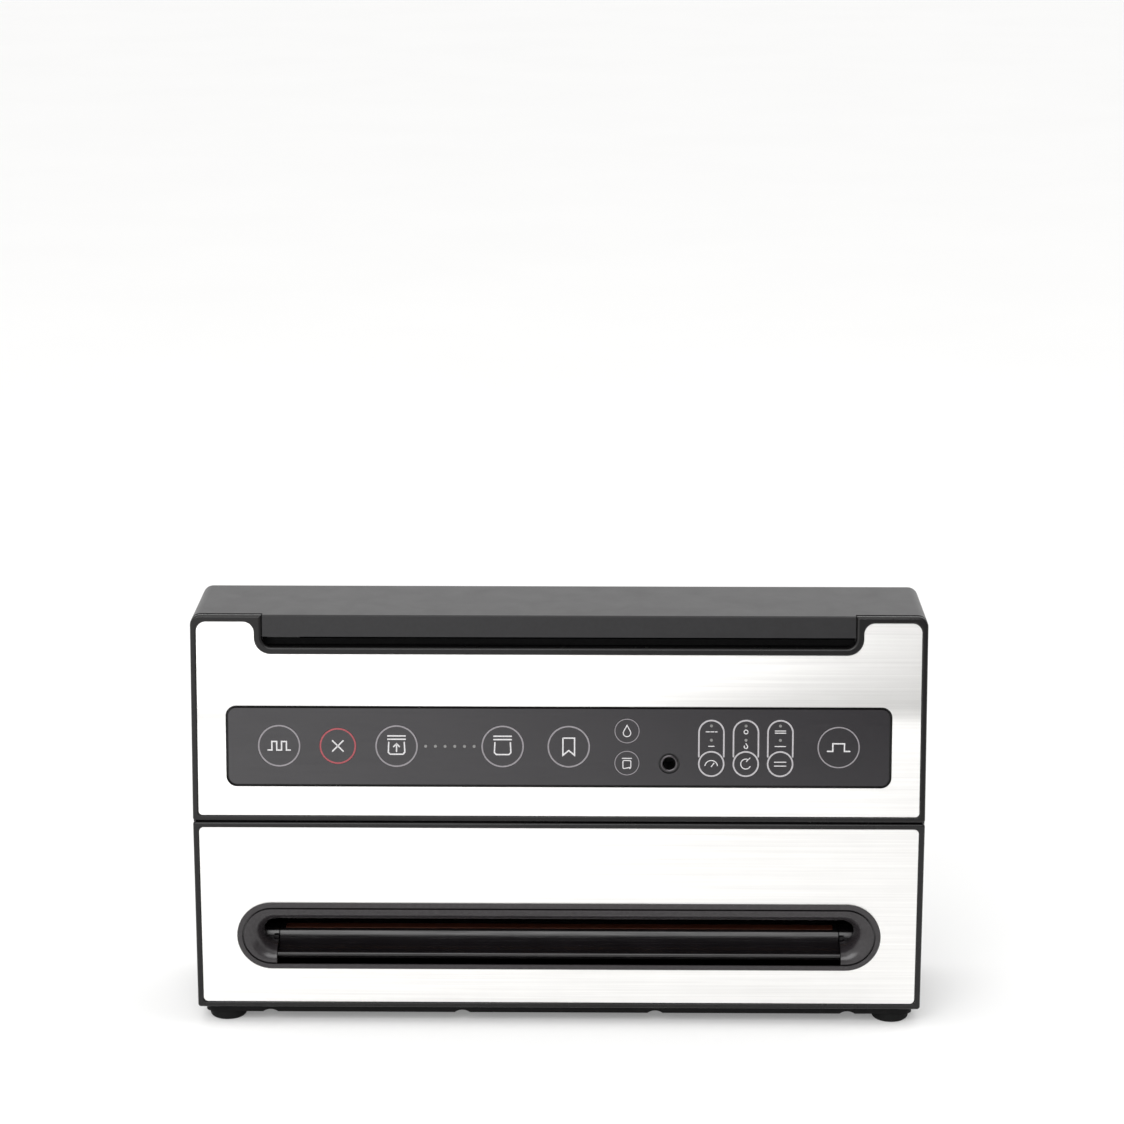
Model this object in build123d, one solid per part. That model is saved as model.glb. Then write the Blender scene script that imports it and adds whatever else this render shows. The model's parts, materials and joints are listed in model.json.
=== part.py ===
"""Upright vacuum sealer for bags up to 300 mm wide.

Row frame in millimetres: +X to the user's right, -Y is the front, +Z up.
The origin is the middle of the bounding box at table height.
Helper coordinates: 'back' is the distance behind the front face plane.
"""
from build123d import *
import math
import os

# ---- driving dimensions -------------------------------------------------
WIDTH = 400.0
DEPTH = 95.0             # from the front face plane to the rear wall
FACE_Y = -47.0           # front face plane of the lower panel
FRAME_Z = 9.5            # lower edge of the lower front frame
SEAM_Z = 117.8           # joint between the lower and the upper housing
TOP_Z = 231.5            # top of the lid
LEAN = 5.69              # degrees that the upper panel leans back
WALL = 2.5
SEAM_GAP = 0.5
FASCIA = 3.2             # thickness of the moulded front frames
SHEET = 0.8              # stainless sheet
BORDER = 3.3             # black border round each sheet
RIM = 0.8                # height of the rounded borders above the sheets
RIM_OUTER = 1.4          # rounding of a border's outer edge
RIM_INNER = 0.5          # rounding of its edge beside the sheet
SHEET_GAP = 0.3          # gap between a sheet and its border
TOP_RADIUS = 5.5         # rounding of the top side edges
REAR_RADIUS = 6.0
VENT = (14.0, 2.4)       # height and width of a vent slot
VENT_PITCH = (6.0, 20.0)         # across and up
SCREW_HOLE = 1.4

HALF = WIDTH / 2
INNER = HALF - WALL
HOUSING_TOP = 213.2      # parting plane under the lid
LID_Z = 214.0
PANEL_LENGTH = (TOP_Z - SEAM_Z) / math.cos(math.radians(LEAN))

# notch in the upper frame, for the lid's lip and the film exit
NOTCH_HALF = 161.3
NOTCH_V = 96.8
LIP_HALF = 160.8
LIP_Z = 219.8
LID_FRONT = (14.25, 15.1)        # how far back its front wall is, at the bottom and the top
SHEET_NOTCH_HALF = 165.4
SHEET_NOTCH_V = 92.8

# control panel, in panel coordinates (u along X, v up the slope from the seam)
OVERLAY = (359.8, 42.1, 41.95)   # width, height, centre v
OVERLAY_CORNER = 4.4
FILM = (1.45, 0.25)      # depths of the film's underside and face below the sheet
FILM_GROOVE = 1.4        # width of the dark groove round the film
FILM_GROOVE_DEPTH = 2.7
KEYS = {                         # name: (u, v, radius)
    "pulse_vacuum": (-152.3, 42.1, 11.6),
    "cancel": (-120.3, 42.1, 9.95),
    "vacuum_and_seal": (-88.3, 42.1, 11.6),
    "manual_seal": (-30.5, 42.1, 11.6),
    "memory": (5.5, 42.1, 11.6),
    "marinate": (37.2, 50.9, 6.8),
    "canister": (37.2, 33.1, 6.8),
    "speed_option": (83.1, 32.8, 7.2),
    "food_option": (101.9, 32.8, 7.2),
    "seam_option": (120.6, 32.8, 7.2),
    "pulse_slow": (152.3, 42.1, 11.5),
}
PORT = (60.2, 33.0)
PORT_BORE = 3.4
PORT_TUBE = 4.8          # outer radius of the port's rim and tube
PORT_FLANGE = 5.6
PORT_RIM = 0.3           # height of the rim above the sheet
PORT_BARB = (4.5, -19.0, -16.0)  # radius and depths of the hose barb
PROGRESS_LEDS = [(-72.4 + 5.28 * i, 42.1) for i in range(6)]
OPTION_LEDS = [(u, v) for u in (83.1, 101.9, 120.6) for v in (53.9, 46.0)]
LED_RADIUS = 0.8
BOARD_DEPTH = (9.0, 10.6)        # front and rear of the board, below the sheet
SWITCH_TOP = 6.5

# bag slot in the lower panel
SLOT_Z = 51.6            # centre height
SLOT_OUTER = 19.3        # outer radius of the bezel's ends
SLOT_HALF = 177.3
BEZEL_PROUD = 1.0
BEZEL_DEPTH = 12.8
BEZEL_GROOVE = (2.8, 3.8)        # edges of the decorative groove, inward from the bezel's outline
BEZEL_GROOVE_DEPTH = 1.2         # below the sheet
FUNNEL_CURVE = 11.0      # depth of the funnel's rounded wall
FUNNEL_MOUTH = (173.2, 15.2)     # half length and half height where the funnel starts
FUNNEL_THROAT = (163.2, 7.4)     # and of the passage behind it
TRAY_CUT = 155.7         # half width of the cutout for the tray

# drip tray
TRAY_HALF = 155.3
TRAY_Z = 35.5
TRAY_RIM_Z = 48.7
TRAY_BACK = 62.0
RAMP_BACK = 18.0
NOSE_Z = (39.0, 41.5)            # rounded lip at the tray's front edge
GRIP_BACK = 8.0                  # depth of the finger recess under the lip
SCOOP = (12.4, 42.1)             # middle point of the hollow ramp behind the lip
LIP_BACK = (0.6, 1.9, 2.4)       # tip of the lip, and where its top and underside end
CREST_R = 1.6            # rounding of the ramp's upper edge
TRAY_POCKET = 38.9       # top of the hollow under the ramp
TROUGH = (33.0, 58.0, 38.0)      # front, rear, floor height

# clamping jaw
HEATER_Z = 57.2          # underside of the heating bar
WIRE = 0.25              # thickness of the heating bands
TAPE = 0.2               # thickness of the tape under them
PAD_PROUD = 0.3          # height of the seal pad above the tray's rim
PAD_HALF = TRAY_HALF - 3
PAD_Z = TRAY_RIM_Z - 2.2         # floor of the pad's groove
JAW_TRAVEL = 7.4
JAW_Z = 60.0
JAW_TOP = 72.0
JAW_HALF = 164.0
SUCTION = (-100.0, 38.0)         # x and distance back of the suction stub
GASKET_Z = TRAY_RIM_Z + JAW_TRAVEL + 0.3
SEAL_BACK = (20.0, 27.0)

# lifting drive
MODULE = 0.8
PINION_TEETH = 18
GEAR_TEETH = 40
PRESSURE_ANGLE = 20.0
BACKLASH = 0.16
SHAFT = (50.2, 84.0)             # back, height
SHAFT_R = 2.5
MOTOR_DIRECTION = 60.0           # degrees above +Y, seen from +X
MOTOR_SHAFT_R = 1.5
GEAR_X = (186.0, 190.0)
RACK_GEAR_X = (164.8, 170.2)
RACK_Z = (66.0, 96.0)
RACK_BODY = 5.0          # from the pitch line to the rack's back

# lid hinge and film cutter
HINGE = (77.5, 219.5)
PIN_R = 2.0
PIN_X = (150.6, 163.4)
EAR_X = (157.0, 160.5)   # inner faces of the housing's two ears on each side
EAR = 2.5                # thickness of an ear
LID_REAR = 79.5
ROLL_REAR = 74.6         # rear edge of the housing's top opening
CUTTER_PIVOT = (29.5, 216.5)
CUTTER_PIN_R = 1.5
CUTTER_TOP = 217.4
CARRIAGE_X = -150.0      # where the cutter's carriage is parked
DECK_Z = 213.0
DECK = 2.2
ROLL_HALF = 182.0
ROLL_BACK = (23.0, 72.0)
ROLL_FLOOR = 165.0

INLET = (137.0, 165.0, 27.0, 47.0)       # left, right, bottom and top of the mains inlet

FOOT_R = 10.2
FOOT_H = 5.9
FOOT_X = 184.6
FOOT_BACK = (13.5, 82.0)


# ---- helpers ------------------------------------------------------------
def block(x0, x1, b0, b1, z0, z1):
    """A box between two x, two distances behind the face, and two heights."""
    return Pos((x0 + x1) / 2, FACE_Y + (b0 + b1) / 2, (z0 + z1) / 2) * Box(x1 - x0, b1 - b0, z1 - z0)


def rod(x0, x1, back, z, radius):
    """A cylinder along X."""
    return Pos((x0 + x1) / 2, FACE_Y + back, z) * Rot(0, 90, 0) * Cylinder(radius, x1 - x0)


def post(x, back, z0, z1, radius):
    """A cylinder along Z."""
    return Pos(x, FACE_Y + back, (z0 + z1) / 2) * Cylinder(radius, z1 - z0)


def spindle(x, b0, b1, z, radius):
    """A cylinder along Y."""
    return Pos(x, FACE_Y + (b0 + b1) / 2, z) * Rot(90, 0, 0) * Cylinder(radius, b1 - b0)


def side_prism(points, x0, x1):
    """A solid whose side view has the points (back, z), from x0 to x1."""
    plane = Plane(origin=(x0, FACE_Y, 0), x_dir=(0, 1, 0), z_dir=(1, 0, 0))
    outline = Polyline(*points, close=True)
    return extrude(plane * make_face(outline), x1 - x0)


def mirrored(shape):
    """The shape and its mirror image across the middle plane."""
    return shape + mirror(shape, Plane.YZ)


def pick(edges, test):
    """The edges whose centre passes the test."""
    return [e for e in edges if test(e.center())]


def round_vertices(sketch, spots, radius):
    """Rounds the corners of a sketch that lie at the given (x, y) spots."""
    found = [v for v in sketch.vertices() if any(abs(v.X - a) + abs(v.Y - b) < 0.01 for a, b in spots)]
    return fillet(found, radius)


def slab(plane, sketch, n0, n1):
    """The sketch, drawn on the plane, as a slab between two heights above it."""
    return extrude(plane.offset(n0) * sketch, n1 - n0)


UPPER = Plane(origin=(0, FACE_Y, SEAM_Z), x_dir=(1, 0, 0),
              z_dir=(0, -math.cos(math.radians(LEAN)), math.sin(math.radians(LEAN))))
LOWER = Plane(origin=(0, FACE_Y, FRAME_Z), x_dir=(1, 0, 0), z_dir=(0, -1, 0))


def slope_back(z, depth=0.0):
    """How far back the upper panel's face is at height z, or a layer that deep behind it."""
    lean = math.radians(LEAN)
    return (z - SEAM_Z) * math.tan(lean) + depth / math.cos(lean)


def panel_at(u, v):
    """A place on the panel."""
    return Pos(u, v, 0)


def gear_face(teeth, turn):
    """An involute gear's outline with a tooth centred at 'turn' degrees."""
    alpha = math.radians(PRESSURE_ANGLE)
    pitch = MODULE * teeth / 2
    base = pitch * math.cos(alpha)
    tip = pitch + MODULE
    root = pitch - 1.25 * MODULE
    half = math.pi / (2 * teeth) - BACKLASH / (2 * pitch) + math.tan(alpha) - alpha
    start = max(base, root)
    radii = [start + (tip - start) * i / 4 for i in range(5)]
    points = []
    for k in range(teeth):
        middle = math.radians(turn) + 2 * math.pi * k / teeth
        flank = []
        for r in radii:
            a = math.acos(min(1.0, base / r))
            flank.append((r, half - (math.tan(a) - a)))
        rising = [(root, flank[0][1] + 0.02)] + flank
        points += [(r * math.cos(middle - t), r * math.sin(middle - t)) for r, t in rising]
        points += [(r * math.cos(middle + t), r * math.sin(middle + t)) for r, t in reversed(rising)]
    return make_face(Polyline(*points, close=True))


def gear(teeth, turn, x0, x1, back, z, bore):
    """A spur gear along X; angles run from +Y towards +Z."""
    plane = Plane(origin=(x0, FACE_Y + back, z), x_dir=(0, 1, 0), z_dir=(1, 0, 0))
    return extrude(plane * (gear_face(teeth, turn) - Circle(bore)), x1 - x0)


# ---- housings -----------------------------------------------------------
def upper_outline():
    """Face of the upper frame, with the notch for the lid's lip."""
    length = PANEL_LENGTH - SEAM_GAP / 2
    face = Pos(0, SEAM_GAP / 2 + length / 2) * Rectangle(WIDTH, length)
    top = SEAM_GAP / 2 + length
    face = round_vertices(face, [(-HALF, top), (HALF, top)], TOP_RADIUS)
    face = round_vertices(face, [(-HALF, SEAM_GAP / 2), (HALF, SEAM_GAP / 2)], 1.6)
    notch = Pos(0, NOTCH_V + 15) * Rectangle(2 * NOTCH_HALF, 30)
    notch = round_vertices(notch, [(-NOTCH_HALF, NOTCH_V), (NOTCH_HALF, NOTCH_V)], 5.5)
    return face - notch


def upper_sheet_outline(grow=0.0):
    bottom = BORDER + SEAM_GAP / 2 - grow
    top = PANEL_LENGTH - BORDER - 0.4 + grow
    side = HALF - BORDER + grow
    face = Pos(0, (bottom + top) / 2) * Rectangle(2 * side, top - bottom)
    face = round_vertices(face, [(-side, top), (side, top)], 5.2)
    face = round_vertices(face, [(-side, bottom), (side, bottom)], 2.0)
    reach = SHEET_NOTCH_HALF - grow
    low = SHEET_NOTCH_V + grow
    notch = Pos(0, low + 20) * Rectangle(2 * reach, 40)
    notch = round_vertices(notch, [(-reach, low), (reach, low)], 9.0)
    face = face - notch
    return round_vertices(face, [(-reach, top), (reach, top)], 6.0)


def overlay_outline(grow=0.0):
    """The film's outline, or one that is larger by a margin."""
    width, height, middle = OVERLAY
    return Pos(0, middle) * RectangleRounded(width + 2 * grow, height + 2 * grow, OVERLAY_CORNER + grow)


def key_holes(extra):
    """Circles round the keys, larger than them by the extra radius."""
    return [panel_at(u, v) * Circle(r + extra) for u, v, r in KEYS.values()]


def edges_at(body, plane, height):
    """The edges that lie in the plane raised by the height."""
    return [e for e in body.edges() if abs(plane.to_local_coords(e.center()).Z - height) < 0.01]


def bordered(plane, outline, opening):
    """A front frame: a slab with a rounded border standing up round the opening for its sheet."""
    body = slab(plane, outline, -FASCIA, RIM)
    body = fillet(edges_at(body, plane, RIM), RIM_OUTER)
    body -= slab(plane, opening, -SHEET - 0.05, RIM + 1)
    return fillet(edges_at(body, plane, RIM), RIM_INNER)


def upper_front_frame():
    body = bordered(UPPER, upper_outline(), upper_sheet_outline(SHEET_GAP))
    body -= slab(UPPER, overlay_outline(FILM_GROOVE), -FILM[0] - 0.05, 0)
    body -= slab(UPPER, overlay_outline(FILM_GROOVE) - overlay_outline(-0.6), -FILM_GROOVE_DEPTH, 0)
    for hole in key_holes(0.15):
        body -= slab(UPPER, hole, -FASCIA - 1, 0)
    body -= slab(UPPER, panel_at(*PORT) * Circle(PORT_FLANGE + 0.1), -FASCIA - 1, 0)
    for u, v in PROGRESS_LEDS + OPTION_LEDS:
        body -= slab(UPPER, panel_at(u, v) * Circle(LED_RADIUS + 0.05), -FASCIA - 1, 0)
    return body


def upper_front_plate():
    plate = slab(UPPER, upper_sheet_outline(), -SHEET, 0)
    return plate - slab(UPPER, overlay_outline(FILM_GROOVE), -5, 5)


def control_overlay():
    body = slab(UPPER, overlay_outline(), -FILM[0], -FILM[1])
    for hole in key_holes(0.15):
        body -= slab(UPPER, hole, -2, 1)
    body -= slab(UPPER, panel_at(*PORT) * Circle(PORT_FLANGE + 0.15), -2, 1)
    for u, v in PROGRESS_LEDS + OPTION_LEDS:
        body -= slab(UPPER, panel_at(u, v) * Circle(LED_RADIUS + 0.05), -2, 1)
    return body


def key(u, v, radius):
    """A round cap, level with the film, on a stem that reaches its switch."""
    cap_bottom = -2.4
    cap = slab(UPPER, panel_at(u, v) * Circle(radius), cap_bottom, -FILM[1])
    stem = slab(UPPER, panel_at(u, v) * Circle(2.0), -6.0, cap_bottom)
    return cap + stem


def indicator_lenses():
    """Light guides from the board's lamps to the film."""
    lens = (-SWITCH_TOP, -0.15)
    return [slab(UPPER, panel_at(u, v) * Circle(LED_RADIUS), *lens) for u, v in PROGRESS_LEDS + OPTION_LEDS]


def control_board():
    """Board behind the panel, with holes for the accessory port and four screws."""
    top, bottom = BOARD_DEPTH
    board = slab(UPPER, Pos(0, 42) * RectangleRounded(346, 40, 2), -bottom, -top)
    board -= slab(UPPER, panel_at(*PORT) * Circle(PORT_TUBE + 0.4), -bottom - 1, -top + 1)
    for u in (-168, -60, 52, 168):
        board -= slab(UPPER, panel_at(u, 26) * Circle(1.6), -bottom - 1, -top + 1)
    return board


def key_switches():
    """One square switch under each key."""
    square = Rectangle(6.2, 6.2)
    return [slab(UPPER, panel_at(u, v) * square, -BOARD_DEPTH[0], -SWITCH_TOP) for u, v, _ in KEYS.values()]


def hose_port():
    """Accessory socket: a rounded rim standing in a recess, a tube and a barb behind."""
    spot = panel_at(*PORT)
    barb, barb_end, barb_start = PORT_BARB
    body = slab(UPPER, spot * Circle(PORT_FLANGE), -2.6, -1.5)
    body += slab(UPPER, spot * Circle(PORT_TUBE), barb_start, PORT_RIM)
    body += slab(UPPER, spot * Circle(barb), barb_end, barb_start)
    body -= slab(UPPER, spot * Circle(PORT_BORE), barb_end - 1, PORT_RIM + 1)
    return fillet(edges_at(body, UPPER, PORT_RIM), 0.48 * (PORT_TUBE - PORT_BORE))


def housing_shell(points, inner_points, z0, z1):
    """Side walls and rear wall: a prism with its inside removed."""
    outer = side_prism(points, -HALF, HALF)
    corner = FACE_Y + DEPTH
    edges = pick(outer.edges(), lambda c: abs(c.Y - corner) < 0.01 and abs(abs(c.X) - HALF) < 0.01)
    outer = fillet(edges, REAR_RADIUS)
    inner = side_prism(inner_points, -INNER, INNER)
    return outer - inner


def rear_vents(z0, rows, x0, x1):
    """Rows of upright slots through the rear wall."""
    height, width = VENT
    across, up = VENT_PITCH
    slot = Rot(90, 0, 0) * extrude(SlotOverall(height, width, rotation=90), 10, both=True)
    count = int((x1 - x0) / across) + 1
    spots = [(x0 + i * across, z0 + row * up) for row in range(rows) for i in range(count)]
    return [Pos(x, FACE_Y + DEPTH - 2, z) * slot for x, z in spots]


def upper_housing():
    bottom = SEAM_Z + SEAM_GAP / 2
    depth = FASCIA + 0.2
    top = HOUSING_TOP
    shelf = top - WALL
    slope_start = (DEPTH - 8, top)       # the rear wall leans in over its last few millimetres
    slope_end = (DEPTH, top - 9.2)
    outer = [(slope_back(bottom, depth), bottom), (slope_back(top, depth), top), slope_start,
             slope_end, (DEPTH, bottom)]
    inner = [(-9, bottom - 1), (-9, shelf), (slope_start[0] - 1, shelf), (DEPTH - WALL, slope_end[1] - 1),
             (DEPTH - WALL, bottom - 1)]
    body = housing_shell(outer, inner, bottom, top)
    body -= block(-INNER, INNER, -9, ROLL_REAR, shelf - 1, top + 1)
    for slot in rear_vents(150, 2, -150, -60):
        body -= slot
    for x in EAR_X:
        ear = block(x, x + EAR, ROLL_REAR, HINGE[0] + 2.9, shelf, HINGE[1]) + rod(x, x + EAR, *HINGE, 2.9)
        ear -= rod(x - 1, x + EAR + 1.5, *HINGE, PIN_R + 0.06)
        body += mirrored(ear)
    # bosses that carry the upper frame and the control board
    boss_u, boss_r, boss_end = 191, 4, -22
    for u in (-boss_u, boss_u):
        for v in (12, 72):
            boss = slab(UPPER, panel_at(u, v) * Circle(boss_r), boss_end, -FASCIA - 0.2)
            rib = Pos(math.copysign(boss_u + 3.5, u), v) * Rectangle(7, 2)
            rib = slab(UPPER, rib, boss_end, -FASCIA - 0.2)
            body += boss + rib - slab(UPPER, panel_at(u, v) * Circle(SCREW_HOLE), boss_end + 4, 0)
    return body


def lower_housing():
    top = SEAM_Z - SEAM_GAP / 2
    rear = DEPTH - WALL
    outer = [(FASCIA + 0.2, FRAME_Z), (FASCIA + 0.2, top), (DEPTH, top), (DEPTH, FRAME_Z)]
    inner = [(-9, FRAME_Z - 1), (-9, top + 1), (rear, top + 1), (rear, FRAME_Z - 1)]
    body = housing_shell(outer, inner, FRAME_Z, top)
    # inner tongue that the upper housing sits over, with its root sunk into the walls
    tongue_low, tongue_high, tongue = 108, 125, 1.7
    ring = block(-INNER + 0.1, INNER - 0.1, 14, rear - 0.1, tongue_low, tongue_high)
    ring += block(-INNER - 0.2, INNER + 0.2, 14, rear + 0.2, tongue_low, tongue_low + 6)
    ring -= block(-INNER + 0.1 + tongue, INNER - 0.1 - tongue, 0, rear - 0.1 - tongue, 100, 130)
    body += ring
    # corner posts behind the front frame
    body += mirrored(block(INNER - 6, INNER + 0.1, 6, 13, 12, 104))
    for slot in rear_vents(90, 1, -150, -60):
        body -= slot
    x0, x1, z0, z1 = INLET
    return body - block(x0 - 0.3, x1 + 0.3, 90, 100, z0 - 0.3, z1 + 0.3)


def lower_sheet_outline(grow=0.0):
    side = HALF - BORDER + grow
    bottom = BORDER - grow
    top = SEAM_Z - FRAME_Z - SEAM_GAP / 2 - BORDER + grow
    return Pos(0, (bottom + top) / 2) * RectangleRounded(2 * side, top - bottom, 2.5)


def stadium(half, radius):
    """A long shape with round ends, centred on the bag slot."""
    return Pos(0, SLOT_Z - FRAME_Z) * SlotOverall(2 * half, 2 * radius)


def slot_hole():
    """The hole in the sheet and the frame that the slot's bezel covers."""
    overlap = 1.3
    return stadium(SLOT_HALF - overlap, SLOT_OUTER - overlap)


def lower_front_frame():
    height = SEAM_Z - FRAME_Z - SEAM_GAP / 2
    outline = Pos(0, height / 2) * RectangleRounded(WIDTH, height, 1.6)
    body = bordered(LOWER, outline, lower_sheet_outline(SHEET_GAP))
    return body - slab(LOWER, slot_hole(), -FASCIA - 1, 1)


def lower_front_plate():
    plate = slab(LOWER, lower_sheet_outline(), -SHEET, 0)
    return plate - slab(LOWER, slot_hole(), -SHEET - 1, 1)


def funnel_section(turn):
    """The funnel's outline where its wall has turned so many degrees away from the front face."""
    narrowing = 1 - math.sin(math.radians(turn))
    sunk = FUNNEL_CURVE * (1 - math.cos(math.radians(turn)))
    half, radius = (low + (high - low) * narrowing for low, high in zip(FUNNEL_THROAT, FUNNEL_MOUTH))
    return LOWER.offset(BEZEL_PROUD - sunk) * stadium(half, radius)


def slot_bezel():
    """Rounded funnel that guides the bag in, cut away below where the drip tray's front sits."""
    flange = slab(LOWER, stadium(SLOT_HALF, SLOT_OUTER), 0.05, BEZEL_PROUD)
    flange = chamfer(edges_at(flange, LOWER, BEZEL_PROUD), 0.4)
    body = flange + slab(LOWER, stadium(SLOT_HALF - 1.5, SLOT_OUTER - 1.5), -BEZEL_DEPTH, 0.1)
    start, end = BEZEL_GROOVE
    groove = stadium(SLOT_HALF - start, SLOT_OUTER - start) - stadium(SLOT_HALF - end, SLOT_OUTER - end)
    body -= slab(LOWER, groove, -BEZEL_GROOVE_DEPTH, BEZEL_PROUD + 1)
    body -= loft([funnel_section(turn) for turn in (0, 30, 55, 75, 90)])
    body -= slab(LOWER, stadium(*FUNNEL_THROAT), -BEZEL_DEPTH - 1, BEZEL_PROUD - FUNNEL_CURVE + 0.01)
    cut_low = TRAY_Z - 0.4 - FRAME_Z
    cut_high = SLOT_Z - FRAME_Z - 3.2
    cut = Pos(0, (cut_low + cut_high) / 2) * Rectangle(2 * TRAY_CUT, cut_high - cut_low)
    body -= slab(LOWER, cut, -BEZEL_DEPTH - 1, BEZEL_PROUD + 1)
    # behind the flange, the passage under the tray's lip is open down to the housing
    below = Pos(0, cut_low) * Rectangle(2 * TRAY_CUT, 6)
    return body - slab(LOWER, below, -BEZEL_DEPTH - 1, 0)


# ---- lid, roll compartment and film cutter ------------------------------
def roll_lid():
    low, high = LID_FRONT
    outer = [(low, LID_Z), (high, TOP_Z), (LID_REAR, TOP_Z), (LID_REAR, LID_Z)]
    body = side_prism(outer, -HALF, HALF)
    rear = FACE_Y + LID_REAR
    sides = pick(body.edges(), lambda c: abs(c.Z - TOP_Z) < 0.01 and abs(abs(c.X) - HALF) < 0.01)
    body = fillet(sides, TOP_RADIUS)
    back_edges = pick(body.edges(), lambda c: abs(c.Y - rear) < 0.01 and c.Z > LID_Z + 0.1)
    body = fillet(back_edges, 5.0)
    ceiling = TOP_Z - WALL
    inner_rear = LID_REAR - WALL
    hollow = [(low + WALL, LID_Z - 1), (high + WALL, ceiling), (inner_rear, ceiling),
              (inner_rear, LID_Z - 1)]
    cavity = side_prism(hollow, -INNER, INNER)
    corners = pick(cavity.edges(), lambda c: abs(c.Z - ceiling) < 0.01 and abs(abs(c.X) - INNER) < 0.01)
    cavity = fillet(corners, 3.0)
    # stiffening ribs are left standing under the top
    for x in (-90, 0, 90):
        cavity -= block(x - 0.9, x + 0.9, 30, 80, ceiling - 2.5, ceiling + 1)
    body -= cavity
    # the lip in the middle comes forward to the panel's face and ends above the film exit
    body -= block(-LIP_HALF, LIP_HALF, 0, 20, LID_Z - 2, LIP_Z)
    bevel = TOP_Z - 0.6
    lip = [(slope_back(LIP_Z), LIP_Z), (slope_back(bevel), bevel), (slope_back(TOP_Z) + 0.9, TOP_Z),
           (high + 1, TOP_Z), (low + 1, LIP_Z)]
    body += side_prism(lip, -LIP_HALF, LIP_HALF)
    # room for the housing's hinge ears, and the lid's own ears between them
    room = (EAR_X[0] - 0.5, EAR_X[1] + EAR + 0.6)
    body -= mirrored(block(*room, LID_REAR - 3.5, LID_REAR + 1.5, LID_Z - 1, 225))
    own = (PIN_X[0] - 0.1, room[0] + 0.1)
    ear = block(*own, HINGE[0] - 2.6, HINGE[0] + 0.5, HINGE[1], ceiling + 0.1) + rod(*own, *HINGE, 2.7)
    body += mirrored(ear)
    return body - mirrored(rod(own[0] - 1.5, own[1] + 0.4, *HINGE, PIN_R))


def lid_hinge_pins():
    pin = rod(*PIN_X, *HINGE, PIN_R)
    return [pin, mirror(pin, Plane.YZ)]


def roll_trough():
    """Open box that holds the film roll under the deck."""
    wall = 2.0
    front, rear = ROLL_BACK
    half = ROLL_HALF + wall
    outer = block(-half, half, front - wall, rear + wall, ROLL_FLOOR - wall, DECK_Z - DECK)
    return outer - block(-ROLL_HALF, ROLL_HALF, front, rear, ROLL_FLOOR, DECK_Z)


def roll_deck():
    """Deck round the trough's mouth, with the cutter's groove and the lugs of the cutter bar's pivots."""
    body = block(-INNER + 0.1, INNER - 0.1, 13.2, 74.5, DECK_Z - DECK, DECK_Z)
    body -= block(-ROLL_HALF, ROLL_HALF, *ROLL_BACK, DECK_Z - 5, DECK_Z + 1)
    body -= block(-170, 170, 19.7, 21.5, DECK_Z - 1.0, DECK_Z + 1)
    lug = (190.6, 193.6)
    back, height = CUTTER_PIVOT
    piece = block(*lug, back - 2.5, back + 2.5, DECK_Z - 0.1, height) + rod(*lug, *CUTTER_PIVOT, 2.5)
    piece -= rod(lug[0] - 0.6, lug[1] + 0.4, *CUTTER_PIVOT, CUTTER_PIN_R + 0.06)
    return body + mirrored(piece)


def cutter_bar():
    """Bar that presses the film down; its slit guides the blade."""
    half = 190
    bar = block(-half, half, 17.5, 23.5, 213.6, CUTTER_TOP)
    bar = fillet(pick(bar.edges(), lambda c: abs(c.Z - CUTTER_TOP) < 0.01 and abs(c.X) < 1), 0.8)
    bar -= block(-168, 168, 19.9, 21.1, 210, 220)
    arm = block(half - 4, half, 23, CUTTER_PIVOT[0], 214.4, CUTTER_TOP)
    arm += rod(half - 4, half, *CUTTER_PIVOT, 2.2)
    arm += rod(half - 0.5, 193.4, *CUTTER_PIVOT, CUTTER_PIN_R)
    return bar + mirrored(arm)


def cutter_carriage():
    """Slider with a finger grip, and a stem down through the bar's slit."""
    x = CARRIAGE_X
    grip_top = 220.6
    body = block(x - 9, x + 9, 17, 24, CUTTER_TOP + 0.2, 219.0)
    grip = block(x - 5, x + 5, 18, 23, 219.0, grip_top)
    grip = fillet(pick(grip.edges(), lambda c: c.Z > grip_top - 0.1), 0.7)
    stem = block(x - 4, x + 4, 20.1, 20.9, 216.0, CUTTER_TOP + 0.3)
    return body + grip + stem


def cutter_blade():
    x = CARRIAGE_X
    outline = [(x - 4, 216.0), (x - 1.5, 212.6), (x + 1.5, 212.6), (x + 4, 216.0)]
    plane = Plane(origin=(0, FACE_Y + 20.7, 0), x_dir=(1, 0, 0), z_dir=(0, -1, 0))
    return extrude(plane * make_face(Polyline(*outline, close=True)), 0.4)


# ---- bag slot, drip tray and jaw ----------------------------------------
def ramp_curve():
    """The hollow ramp from the lip up to the crest, in side view."""
    return ThreePointArc((LIP_BACK[1], NOSE_Z[1]), SCOOP, (RAMP_BACK, TRAY_RIM_Z))


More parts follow.
